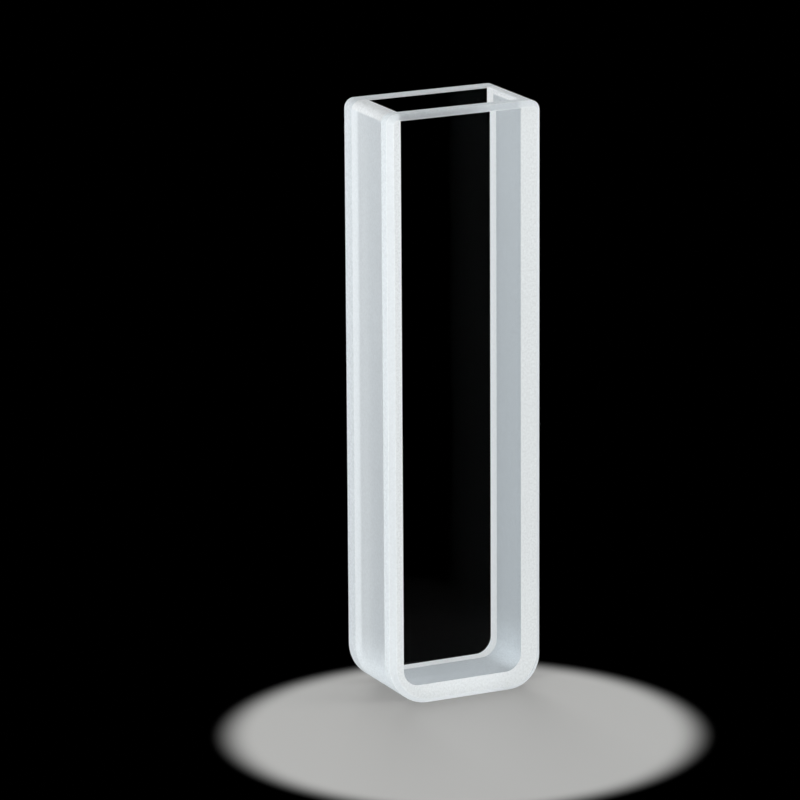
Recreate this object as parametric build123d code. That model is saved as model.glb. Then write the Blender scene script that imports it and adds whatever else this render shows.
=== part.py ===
from build123d import *
import os

# A fused quartz cell: two polished windows joined for good to a ground, U-shaped frame.
# Millimetres, +Z up, the front window faces -Y, the origin lies under the middle of the base.

# Overall sizes
cell_width = 12.5
cell_height = 45.0
light_path = 5.0

# Plates and walls
window_thickness = 1.25
side_wall = 1.35
base_thickness = 1.3

# Round corners in the front view. The two at the foot are ground by hand, and the right one is tighter
left_foot_radius = 3.2
right_foot_radius = 2.5
top_corner_radius = 0.75
well_corner_radius = 1.3

# Ground bevels: a wide one round the front window, and edges only just broken at the rear and the mouth
front_bevel = 0.4
rear_bevel = 0.05
mouth_bevel = 0.1
mouth_flare_angle = 45

# How far a cutting shape runs past the surface that it cuts
overrun = 1.0

# Worked out from the sizes above
well_width = cell_width - 2 * side_wall
front_joint_y = -light_path / 2
front_face_y = front_joint_y - window_thickness


def cell_outline():
    """The front view of the whole cell: large round corners at the foot, small ones at the rim."""
    block = Rectangle(cell_width, cell_height, align=(Align.CENTER, Align.MIN))
    block = fillet(block.vertices().group_by(Axis.Y)[0].sort_by(Axis.X)[0], left_foot_radius)
    block = fillet(block.vertices().group_by(Axis.Y)[0].sort_by(Axis.X)[-1], right_foot_radius)
    return fillet(block.vertices().group_by(Axis.Y)[-1], top_corner_radius)


def well_outline():
    """The front view of the well: open past the rim, with two round lower corners."""
    well_height = cell_height - base_thickness
    well = Rectangle(well_width, well_height + overrun, align=(Align.CENTER, Align.MIN))
    well = fillet(well.vertices().group_by(Axis.Y)[0], well_corner_radius)
    return Pos(0, base_thickness) * well


def plate(front_view, front_y, depth):
    """An upright plate with this front view, whose front face lies at front_y."""
    return extrude(Plane.XZ.offset(-front_y) * front_view, -depth)


def mouth_flare():
    """The shallow flare that bevels the four inner edges of the mouth."""
    mouth = Pos(0, 0, cell_height - mouth_bevel) * Rectangle(well_width, light_path)
    return extrude(mouth, mouth_bevel + overrun, taper=-mouth_flare_angle)


def front_pane(outer_bevel):
    """A pane with the cell's outline in front of the frame, bevelled round its outer face."""
    pane = plate(cell_outline(), front_face_y, window_thickness)
    pane = chamfer(pane.edges().group_by(Axis.Y)[0], outer_bevel)
    return pane - mouth_flare()


# The frame is the well's two sides and its floor in one piece, as deep as the light path
u_frame = plate(cell_outline() - well_outline(), front_joint_y, light_path) - mouth_flare()

# The windows lie face to face on the frame's two joint faces
front_window = front_pane(front_bevel)
rear_window = mirror(front_pane(rear_bevel), about=Plane.XZ)

os.makedirs("parts", exist_ok=True)
export_step(u_frame, "parts/u_frame.step")
export_step(front_window, "parts/front_window.step")
export_step(rear_window, "parts/rear_window.step")
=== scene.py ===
import math

import bmesh
import bpy
from mathutils import Matrix, Vector


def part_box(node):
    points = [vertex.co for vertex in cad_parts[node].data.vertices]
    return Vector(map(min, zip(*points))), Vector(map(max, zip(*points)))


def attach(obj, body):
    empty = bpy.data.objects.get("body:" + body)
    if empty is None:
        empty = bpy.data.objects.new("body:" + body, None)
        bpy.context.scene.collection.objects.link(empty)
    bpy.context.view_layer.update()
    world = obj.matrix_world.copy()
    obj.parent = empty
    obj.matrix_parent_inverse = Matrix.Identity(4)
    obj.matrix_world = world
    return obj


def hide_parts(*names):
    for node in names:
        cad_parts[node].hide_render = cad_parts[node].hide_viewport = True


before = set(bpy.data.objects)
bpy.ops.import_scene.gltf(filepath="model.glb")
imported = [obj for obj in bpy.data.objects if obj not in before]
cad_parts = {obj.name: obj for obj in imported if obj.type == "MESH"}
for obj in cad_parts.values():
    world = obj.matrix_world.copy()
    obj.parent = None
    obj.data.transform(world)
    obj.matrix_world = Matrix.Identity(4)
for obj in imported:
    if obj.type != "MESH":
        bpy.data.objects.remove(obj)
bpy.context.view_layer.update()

MM = 0.001

# The cell's sizes that the CAD boxes don't give
SIDE_WALL = 1.35 * MM
BASE = 1.3 * MM
LEFT_FOOT_RADIUS = 3.2 * MM
RIGHT_FOOT_RADIUS = 2.5 * MM
TOP_RADIUS = 0.75 * MM
WELL_RADIUS = 1.3 * MM
FRONT_BEVEL = 0.4 * MM
REAR_BEVEL = 0.05 * MM
MOUTH_BEVEL = 0.1 * MM

# Only in the scene: narrow broken edges, and a gap on each side of a joint that keeps the faces apart
ARRIS = 0.03 * MM
JOINT_GAP = 0.004 * MM

# Steps in a round corner, and how many of them belong to the rim in the frame's top corners
ARC_STEPS = 28
RIM_STEPS = 24

# Edges that turn by more than this stay sharp, and large faces set the normals of the rest
SHARP_ANGLE = math.radians(20)
NORMAL_WEIGHT = 100

# The overall sizes come from the CAD model
frame_low, frame_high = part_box("u_frame")
front_low, front_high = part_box("front_window")
rear_low, rear_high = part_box("rear_window")
HALF_WIDTH = frame_high.x
HEIGHT = frame_high.z
WELL_HALF = HALF_WIDTH - SIDE_WALL
MOUTH_HALF = WELL_HALF + MOUTH_BEVEL
MOUTH_Z = HEIGHT - MOUTH_BEVEL

# The camera, as fitted to the photograph's edges
CAMERA_AZIMUTH = math.radians(25.935)
CAMERA_ELEVATION = math.radians(14.798)
CAMERA_ROLL = math.radians(-0.344)
CAMERA_DISTANCE = 413.772 * MM
CAMERA_AIM = Vector((-3.643 * MM, 0, 22.609 * MM))
CAMERA_LENS = 251.278
CAMERA_SENSOR = 36
CAMERA_NEAR, CAMERA_FAR = 0.01, 10

WHITE = (1, 1, 1, 1)
BLACK = (0, 0, 0, 1)
QUARTZ_IOR = 1.458

# Polished quartz mirrors this share of the Fresnel value up to the lower number here, and all of it
# from the upper one on
MIRROR_SHARE = 0.05
MIRROR_FRESNEL = (0.3, 0.9)

# The colour of what is seen through a polished face, and blurred through a ground one
CLEAR_TINT = (0.99, 0.995, 0.998, 1)
BLUR_TINT = (0.97, 0.985, 1.0, 1)
BLUR_ROUGHNESS = 0.49

# The colours that the ground faces and the fused joints scatter
GROUND_COLOUR = (0.775, 0.84, 0.88)
EDGE_COLOUR = (0.725, 0.783, 0.815)
# Painted light: the rim is a whiter copy of the ground faces, standing in for light from above
RIM_LIT_COLOUR = (0.93, 0.965, 0.98)
# Painted highlight: the arrises are a whiter copy of the ground faces, for bright lines along the
# edges
ARRIS_HIGHLIGHT_COLOUR = (0.9, 0.94, 0.96)
JOINT_COLOUR = (0.93, 0.965, 0.972)

# How much of the scattered light goes on through the surface
GROUND_THROUGH = 0.06
EDGE_THROUGH = 0.2
RIM_THROUGH = 0.45
JOINT_THROUGH = 0.3

# How much lamplight passes straight through a face
POLISHED_LIGHT = (0.98, 0.985, 0.99, 1)
GROUND_LIGHT = (0.78, 0.78, 0.78, 1)
JOINT_LIGHT = (0.6, 0.6, 0.6, 1)

# How much is seen through a ground face, as a share or as a fade between two (height, share) pairs:
# less at the solid base and at the rim
ARRIS_CLEAR = 0.5
EDGE_CLEAR = 0.18
WHITER_BASE = ((0.5 * BASE, 0.23), (BASE + 3 * WELL_RADIUS, 0.59))
WHITER_RIM = ((HEIGHT - FRONT_BEVEL, 0.64), (HEIGHT, 0.38))

# Painted shade: how strong the frame's colour is, by height, less on the underside
PAINTED_SHADE_FOOT = ((0.0, 0.86), (0.5 * BASE, 1.0))

# Grain: the noise's scale, and the lowest and highest number that it gives
POLISH_GRAIN = (600.0, 0.0, 0.03)
GROUND_GRAIN = (6000.0, 0.86, 1.08)
JOINT_GRAIN = (6000.0, 0.89, 1.06)
BUMP_GRAIN = (7000.0, 0.0, 1.0)
NOISE_SPAN = (0.3, 0.7)
BUMP_STRENGTH = 0.12
BUMP_DEPTH = 0.02 * MM

# The floor has a painted pool of light: pale under the cell and in front of it, and lost in painted
# dark further out
FLOOR_CENTRE = Vector((-4.0 * MM, -11.0 * MM, -0.005 * MM))
FLOOR_POOL_LIT = 15.0 * MM
FLOOR_POOL_DARK = 18.8 * MM
FLOOR_RADIUS = 60 * MM
FLOOR_SEGMENTS = 96
FLOOR_COLOUR = (0.5, 0.5, 0.49)

# The light: its level from all round, and each lamp's name, direction and level
WORLD_LEVEL = 0.48
LAMP_DISTANCE = 300 * MM
LAMP_SIZE = 160 * MM
LAMPS = (
    ("key_lamp", (-0.87, -0.48, 0.14), 0.77),
    ("fill_lamp", (0.8, -0.58, 0.14), 0.43),
    ("back_lamp", (0.25, 0.9, 0.25), 0.4),
)

# The order of the materials on every piece
POLISHED_FACE, GROUND_FACE, JOINT_FACE, ARRIS_FACE, EDGE_FACE, BEVEL_FACE, RIM_FACE = range(7)


def arc(centre_x, centre_z, radius, start, stop):
    """Points of an arc in the front view, angles in degrees from +X towards +Z."""
    points = []
    for i in range(ARC_STEPS + 1):
        angle = math.radians(start + (stop - start) * i / ARC_STEPS)
        points.append((centre_x + radius * math.cos(angle), centre_z + radius * math.sin(angle)))
    return points


def outer_path(inset):
    """The cell's outline from the right end of its top edge, down and round to the left end."""
    top_x, top_z = HALF_WIDTH - TOP_RADIUS, HEIGHT - TOP_RADIUS
    right_x, left_x = HALF_WIDTH - RIGHT_FOOT_RADIUS, LEFT_FOOT_RADIUS - HALF_WIDTH
    path = arc(top_x, top_z, TOP_RADIUS - inset, 90, 0)
    path += arc(right_x, RIGHT_FOOT_RADIUS, RIGHT_FOOT_RADIUS - inset, 0, -90)
    path += arc(left_x, LEFT_FOOT_RADIUS, LEFT_FOOT_RADIUS - inset, -90, -180)
    path += arc(-top_x, top_z, TOP_RADIUS - inset, 180, 90)
    return path


def well_path():
    """The well's outline from the left wall's upper end, down and round to the right wall's."""
    low_x, low_z = WELL_HALF - WELL_RADIUS, BASE + WELL_RADIUS
    path = [(-WELL_HALF, MOUTH_Z)]
    path += arc(-low_x, low_z, WELL_RADIUS, 180, 270)
    path += arc(low_x, low_z, WELL_RADIUS, 270, 360)
    path += [(WELL_HALF, MOUTH_Z)]
    return path


def ring(mesh, path, y):
    return [mesh.verts.new((x, y, z)) for x, z in path]


def face(mesh, verts, material):
    mesh.faces.new(verts).material_index = material


def add_object(name, data):
    made = bpy.data.objects.new(name, data)
    bpy.context.scene.collection.objects.link(made)
    return made


def add_mesh(name, mesh):
    """Turns a bmesh into an object in the scene."""
    data = bpy.data.meshes.new(name)
    mesh.to_mesh(data)
    mesh.free()
    return add_object(name, data)


def finish_piece(mesh, name, cad_node, materials):
    """Turns a bmesh into a smooth-shaded piece that stands for a CAD node."""
    bmesh.ops.recalc_face_normals(mesh, faces=mesh.faces)
    piece = add_mesh(name, mesh)
    for material in materials:
        piece.data.materials.append(material)
    piece.data.shade_smooth()
    piece.data.set_sharp_from_angle(angle=SHARP_ANGLE)
    weighted = piece.modifiers.new("even_normals", "WEIGHTED_NORMAL")
    weighted.weight = NORMAL_WEIGHT
    weighted.keep_sharp = True
    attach(piece, "root")
    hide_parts(cad_node)


def make_frame(materials):
    """The U-shaped frame: ground outside, polished in the well, white where it is fused."""
    mesh = bmesh.new()
    outer = outer_path(0)
    loop = [(MOUTH_HALF, HEIGHT)] + outer + [(-MOUTH_HALF, HEIGHT)] + well_path()
    front = ring(mesh, loop, frame_low.y + JOINT_GAP)
    rear = ring(mesh, loop, frame_high.y - JOINT_GAP)
    face(mesh, front, JOINT_FACE)
    face(mesh, rear[::-1], JOINT_FACE)
    left_lip, last = len(outer) + 1, len(loop) - 1
    for i in range(len(loop)):
        k = (i + 1) % len(loop)
        material = GROUND_FACE if i < left_lip else POLISHED_FACE
        if i <= RIM_STEPS or len(outer) - RIM_STEPS <= i < left_lip:
            material = RIM_FACE
        if i in (left_lip, last):
            material = ARRIS_FACE
        face(mesh, (front[i], rear[i], rear[k], front[k]), material)
    finish_piece(mesh, "quartz_u_frame", "u_frame", materials)


def bevel_rings(bevel):
    """Each ring from the polished face to the edge, with the material of the strip that follows it.

    A ring is its inset and its depth. A wide bevel has an arris at both ends.
    """
    if bevel <= 2 * ARRIS:
        return [(bevel, 0, ARRIS_FACE), (0, bevel, EDGE_FACE)]
    lean = ARRIS * math.sqrt(0.5)
    return [(bevel + ARRIS, 0, ARRIS_FACE), (bevel - lean, lean, BEVEL_FACE),
            (lean, bevel - lean, ARRIS_FACE), (0, bevel + ARRIS, EDGE_FACE)]


def make_window(name, cad_node, outer_y, inner_y, bevel, materials):
    """A pane with polished faces, ground edges, and a white border where it is fused on."""
    mesh = bmesh.new()
    inward = 1 if inner_y > outer_y else -1
    inner_y = inner_y - inward * JOINT_GAP
    steps = bevel_rings(bevel)
    rings = [ring(mesh, outer_path(inset), outer_y + inward * depth) for inset, depth, _ in steps]
    inside = ring(mesh, outer_path(0), inner_y)
    hole = ring(mesh, well_path(), inner_y)
    mouth = [(-MOUTH_HALF, HEIGHT), (MOUTH_HALF, HEIGHT)]
    left_lip, right_lip = ring(mesh, mouth, inner_y)
    left_top, right_top = ring(mesh, mouth, inner_y - inward * MOUTH_BEVEL)
    face(mesh, rings[0], POLISHED_FACE)
    for k, (_, _, material) in enumerate(steps):
        near = rings[k]
        far = rings[k + 1] if k + 1 < len(rings) else inside
        for i in range(len(near) - 1):
            face(mesh, (near[i], near[i + 1], far[i + 1], far[i]), material)
        if far is not inside:
            face(mesh, (near[-1], near[0], far[0], far[-1]), material)
    top = rings[-1]
    notch = (right_lip, right_top, left_top, left_lip)
    face(mesh, (top[-1], top[0], inside[0], *notch, inside[-1]), EDGE_FACE)
    face(mesh, (left_top, right_top, hole[-1], hole[0]), ARRIS_FACE)
    face(mesh, (left_lip, left_top, hole[0]), ARRIS_FACE)
    face(mesh, (right_lip, hole[-1], right_top), ARRIS_FACE)
    face(mesh, [right_lip] + inside + [left_lip] + hole, JOINT_FACE)
    face(mesh, hole, POLISHED_FACE)
    finish_piece(mesh, name, cad_node, materials)


def new_material(name):
    material = bpy.data.materials.new(name)
    material.use_nodes = True
    tree = material.node_tree
    tree.nodes.clear()
    return material, tree


def node(tree, kind, **inputs):
    """A shader node with these input values. An _ stands for a space in an input's name."""
    made = tree.nodes.new(kind)
    for key, value in inputs.items():
        made.inputs[key.replace("_", " ")].default_value = value
    return made


def maths(tree, operation, first, second, clamp=False):
    """A Math node's result for two output sockets."""
    worked_out = tree.nodes.new("ShaderNodeMath")
    worked_out.operation = operation
    worked_out.use_clamp = clamp
    tree.links.new(first, worked_out.inputs[0])
    tree.links.new(second, worked_out.inputs[1])
    return worked_out.outputs[0]


def map_range(tree, value, span, result, kind="LINEAR"):
    """A number from an output socket, mapped from one (start, end) to another."""
    mapped = node(tree, "ShaderNodeMapRange",
                  From_Min=span[0], From_Max=span[1], To_Min=result[0], To_Max=result[1])
    mapped.interpolation_type = kind
    tree.links.new(value, mapped.inputs["Value"])
    return mapped.outputs["Result"]


def mix_shaders(tree, share, first, second):
    """A Mix Shader of two shader outputs. share is a number or an output socket."""
    mixer = tree.nodes.new("ShaderNodeMixShader")
    if isinstance(share, (int, float)):
        mixer.inputs[0].default_value = share
    else:
        tree.links.new(share, mixer.inputs[0])
    tree.links.new(first, mixer.inputs[1])
    tree.links.new(second, mixer.inputs[2])
    return mixer.outputs[0]


def grain(tree, scale, low, high):
    """Fine grain in a surface, as a number between low and high."""
    place = tree.nodes.new("ShaderNodeTexCoord")
    noise = node(tree, "ShaderNodeTexNoise", Scale=scale, Detail=3.0, Roughness=0.6)
    tree.links.new(place.outputs["Object"], noise.inputs["Vector"])
    return map_range(tree, noise.outputs["Fac"], NOISE_SPAN, (low, high))


def by_height(tree, low, high):
    """A number that fades from one (height, number) to another above it."""
    place = tree.nodes.new("ShaderNodeTexCoord")
    parts = tree.nodes.new("ShaderNodeSeparateXYZ")
    tree.links.new(place.outputs["Object"], parts.inputs[0])
    heights, numbers = zip(low, high)
    return map_range(tree, parts.outputs["Z"], heights, numbers, "SMOOTHSTEP")


def tinted(tree, value, colour):
    """colour times a number from a socket."""
    scale = tree.nodes.new("ShaderNodeVectorMath")
    scale.operation = "SCALE"
    scale.inputs[0].default_value = colour
    tree.links.new(value, scale.inputs["Scale"])
    return scale.outputs["Vector"]


def scatter(tree, colour, normal, through_share):
    """White scattering, partly onwards through the surface."""
    diffuse = node(tree, "ShaderNodeBsdfDiffuse")
    through = node(tree, "ShaderNodeBsdfTranslucent")
    for shader in (diffuse, through):
        tree.links.new(colour, shader.inputs["Color"])
        if normal is not None:
            tree.links.new(normal, shader.inputs["Normal"])
    return mix_shaders(tree, through_share, diffuse.outputs[0], through.outputs[0])


def output(tree, shader):
    end = tree.nodes.new("ShaderNodeOutputMaterial")
    tree.links.new(shader, end.inputs["Surface"])


def output_quartz(tree, seen, light):
    """Shows the shader seen, but rays that only carry light pass straight, with this share left."""
    rays = tree.nodes.new("ShaderNodeLightPath").outputs
    lamp_rays = maths(tree, "MAXIMUM", rays["Is Shadow Ray"], rays["Is Diffuse Ray"])
    lit = node(tree, "ShaderNodeBsdfTransparent", Color=light)
    output(tree, mix_shaders(tree, lamp_rays, seen, lit.outputs[0]))


def mirror_share(tree):
    """How much polished quartz mirrors: little head on, all of it where light can't get out."""
    fresnel = node(tree, "ShaderNodeFresnel", IOR=QUARTZ_IOR).outputs[0]
    kept = map_range(tree, fresnel, MIRROR_FRESNEL, (MIRROR_SHARE, 1.0))
    return maths(tree, "MULTIPLY", fresnel, kept)


def polished_quartz():
    """Clear polished quartz."""
    material, tree = new_material("polished_quartz")
    bent = node(tree, "ShaderNodeBsdfRefraction",
                Color=CLEAR_TINT, Roughness=0.0, IOR=QUARTZ_IOR)
    mirror = node(tree, "ShaderNodeBsdfGlossy", Color=WHITE)
    tree.links.new(grain(tree, *POLISH_GRAIN), mirror.inputs["Roughness"])
    glass = mix_shaders(tree, mirror_share(tree), bent.outputs[0], mirror.outputs[0])
    output_quartz(tree, glass, POLISHED_LIGHT)
    return material


def ground_quartz(name, base_colour, through_share, clear, shade_fade=None):
    """Fine-ground quartz, which scatters light and lets the clear share be seen through it, blurred.

    clear is a number or a fade by height, and the last argument, if given, fades the colour's strength
    by height, as painted shade.
    """
    material, tree = new_material(name)
    tone = grain(tree, *GROUND_GRAIN)
    # Painted shade: the colour weakens by height towards the underside
    if shade_fade:
        tone = maths(tree, "MULTIPLY", tone, by_height(tree, *shade_fade))
    colour = tinted(tree, tone, base_colour)
    bump = node(tree, "ShaderNodeBump", Strength=BUMP_STRENGTH, Distance=BUMP_DEPTH)
    tree.links.new(grain(tree, *BUMP_GRAIN), bump.inputs["Height"])
    blurred = node(tree, "ShaderNodeBsdfGlass",
                   Color=BLUR_TINT, Roughness=BLUR_ROUGHNESS, IOR=QUARTZ_IOR)
    tree.links.new(bump.outputs[0], blurred.inputs["Normal"])
    white = scatter(tree, colour, bump.outputs[0], through_share)
    if isinstance(clear, tuple):
        clear = by_height(tree, *clear)
    output_quartz(tree, mix_shaders(tree, clear, white, blurred.outputs[0]), GROUND_LIGHT)
    return material


def fused_joint():
    """The white, finely bubbled layer where a window is fused to the frame."""
    material, tree = new_material("fused_joint")
    colour = tinted(tree, grain(tree, *JOINT_GRAIN), JOINT_COLOUR)
    output_quartz(tree, scatter(tree, colour, None, JOINT_THROUGH), JOINT_LIGHT)
    return material


def painted_pool_floor():
    """A matt floor with a painted pool of light: pale round its centre, fading to painted black
    further out.
    """
    material, tree = new_material("painted_pool_floor")
    place = tree.nodes.new("ShaderNodeTexCoord")
    away = tree.nodes.new("ShaderNodeVectorMath")
    away.operation = "LENGTH"
    tree.links.new(place.outputs["Object"], away.inputs[0])
    edge = (FLOOR_POOL_LIT, FLOOR_POOL_DARK)
    # Painted pool of light: the floor's colour fades to black with distance from its centre
    fade = map_range(tree, away.outputs["Value"], edge, (1.0, 0.0), "SMOOTHERSTEP")
    diffuse = node(tree, "ShaderNodeBsdfDiffuse")
    tree.links.new(tinted(tree, fade, FLOOR_COLOUR), diffuse.inputs["Color"])
    output(tree, diffuse.outputs[0])
    return material


def make_floor():
    """The floor that the cell stands on."""
    mesh = bmesh.new()
    bmesh.ops.create_circle(mesh, cap_ends=True, segments=FLOOR_SEGMENTS, radius=FLOOR_RADIUS)
    floor = add_mesh("floor", mesh)
    floor.location = FLOOR_CENTRE
    floor.data.materials.append(painted_pool_floor())


def make_world():
    """Soft white light from all round, with a dark studio for what is seen."""
    world = bpy.data.worlds.new("studio")
    bpy.context.scene.world = world
    world.use_nodes = True
    tree = world.node_tree
    tree.nodes.clear()
    rays = tree.nodes.new("ShaderNodeLightPath").outputs
    bounced = maths(tree, "MAXIMUM", rays["Is Glossy Ray"], rays["Is Transmission Ray"])
    sharp = maths(tree, "SUBTRACT", bounced, rays["Is Diffuse Ray"], clamp=True)
    seen = maths(tree, "MAXIMUM", rays["Is Camera Ray"], sharp)
    light = node(tree, "ShaderNodeBackground", Color=WHITE, Strength=WORLD_LEVEL)
    dark = node(tree, "ShaderNodeBackground", Color=BLACK, Strength=1.0)
    surface = mix_shaders(tree, seen, light.outputs[0], dark.outputs[0])
    end = tree.nodes.new("ShaderNodeOutputWorld")
    tree.links.new(surface, end.inputs["Surface"])


def make_lamp(name, towards, level):
    """A soft lamp in that direction. level is how bright a white surface gets, as a share of white."""
    data = bpy.data.lights.new(name, "AREA")
    data.shape = "DISK"
    data.size = LAMP_SIZE
    data.energy = level * 4 * math.pi * LAMP_DISTANCE ** 2
    lamp = add_object(name, data)
    direction = Vector(towards).normalized()
    lamp.location = Vector((0, 0, HEIGHT / 2)) + direction * LAMP_DISTANCE
    lamp.rotation_euler = direction.to_track_quat("Z", "Y").to_euler()
    lamp.visible_transmission = False


def make_camera():
    """The photograph's camera."""
    turn, rise = CAMERA_AZIMUTH, CAMERA_ELEVATION
    back = Vector((-math.sin(turn) * math.cos(rise),
                   -math.cos(turn) * math.cos(rise),
                   math.sin(rise)))
    right = Vector((math.cos(turn), -math.sin(turn), 0))
    up = back.cross(right)
    rolled_right = math.cos(CAMERA_ROLL) * right + math.sin(CAMERA_ROLL) * up
    rolled_up = math.cos(CAMERA_ROLL) * up - math.sin(CAMERA_ROLL) * right
    data = bpy.data.cameras.new("camera")
    data.lens = CAMERA_LENS
    data.sensor_width = CAMERA_SENSOR
    data.clip_start = CAMERA_NEAR
    data.clip_end = CAMERA_FAR
    camera = add_object("camera", data)
    turned = Matrix((rolled_right, rolled_up, back)).transposed().to_4x4()
    camera.matrix_world = Matrix.Translation(CAMERA_AIM + back * CAMERA_DISTANCE) @ turned
    bpy.context.scene.camera = camera


bpy.context.scene.view_settings.view_transform = "Standard"

materials = (
    polished_quartz(),
    ground_quartz("ground_quartz", GROUND_COLOUR, GROUND_THROUGH, WHITER_BASE, PAINTED_SHADE_FOOT),
    fused_joint(),
    # The arrises' whiter copy of ground quartz is a painted highlight along the edges
    ground_quartz("arris_highlight", ARRIS_HIGHLIGHT_COLOUR, EDGE_THROUGH, ARRIS_CLEAR),
    ground_quartz("ground_edge", EDGE_COLOUR, EDGE_THROUGH, EDGE_CLEAR),
    ground_quartz("ground_bevel", EDGE_COLOUR, EDGE_THROUGH, WHITER_RIM),
    # The rim's whiter copy of ground quartz is painted light from above
    ground_quartz("ground_rim_lit", RIM_LIT_COLOUR, RIM_THROUGH, EDGE_CLEAR),
)
make_frame(materials)
make_window("quartz_front_window", "front_window", front_low.y, front_high.y, FRONT_BEVEL, materials)
make_window("quartz_rear_window", "rear_window", rear_high.y, rear_low.y, REAR_BEVEL, materials)
make_floor()
make_world()
for lamp in LAMPS:
    make_lamp(*lamp)
make_camera()
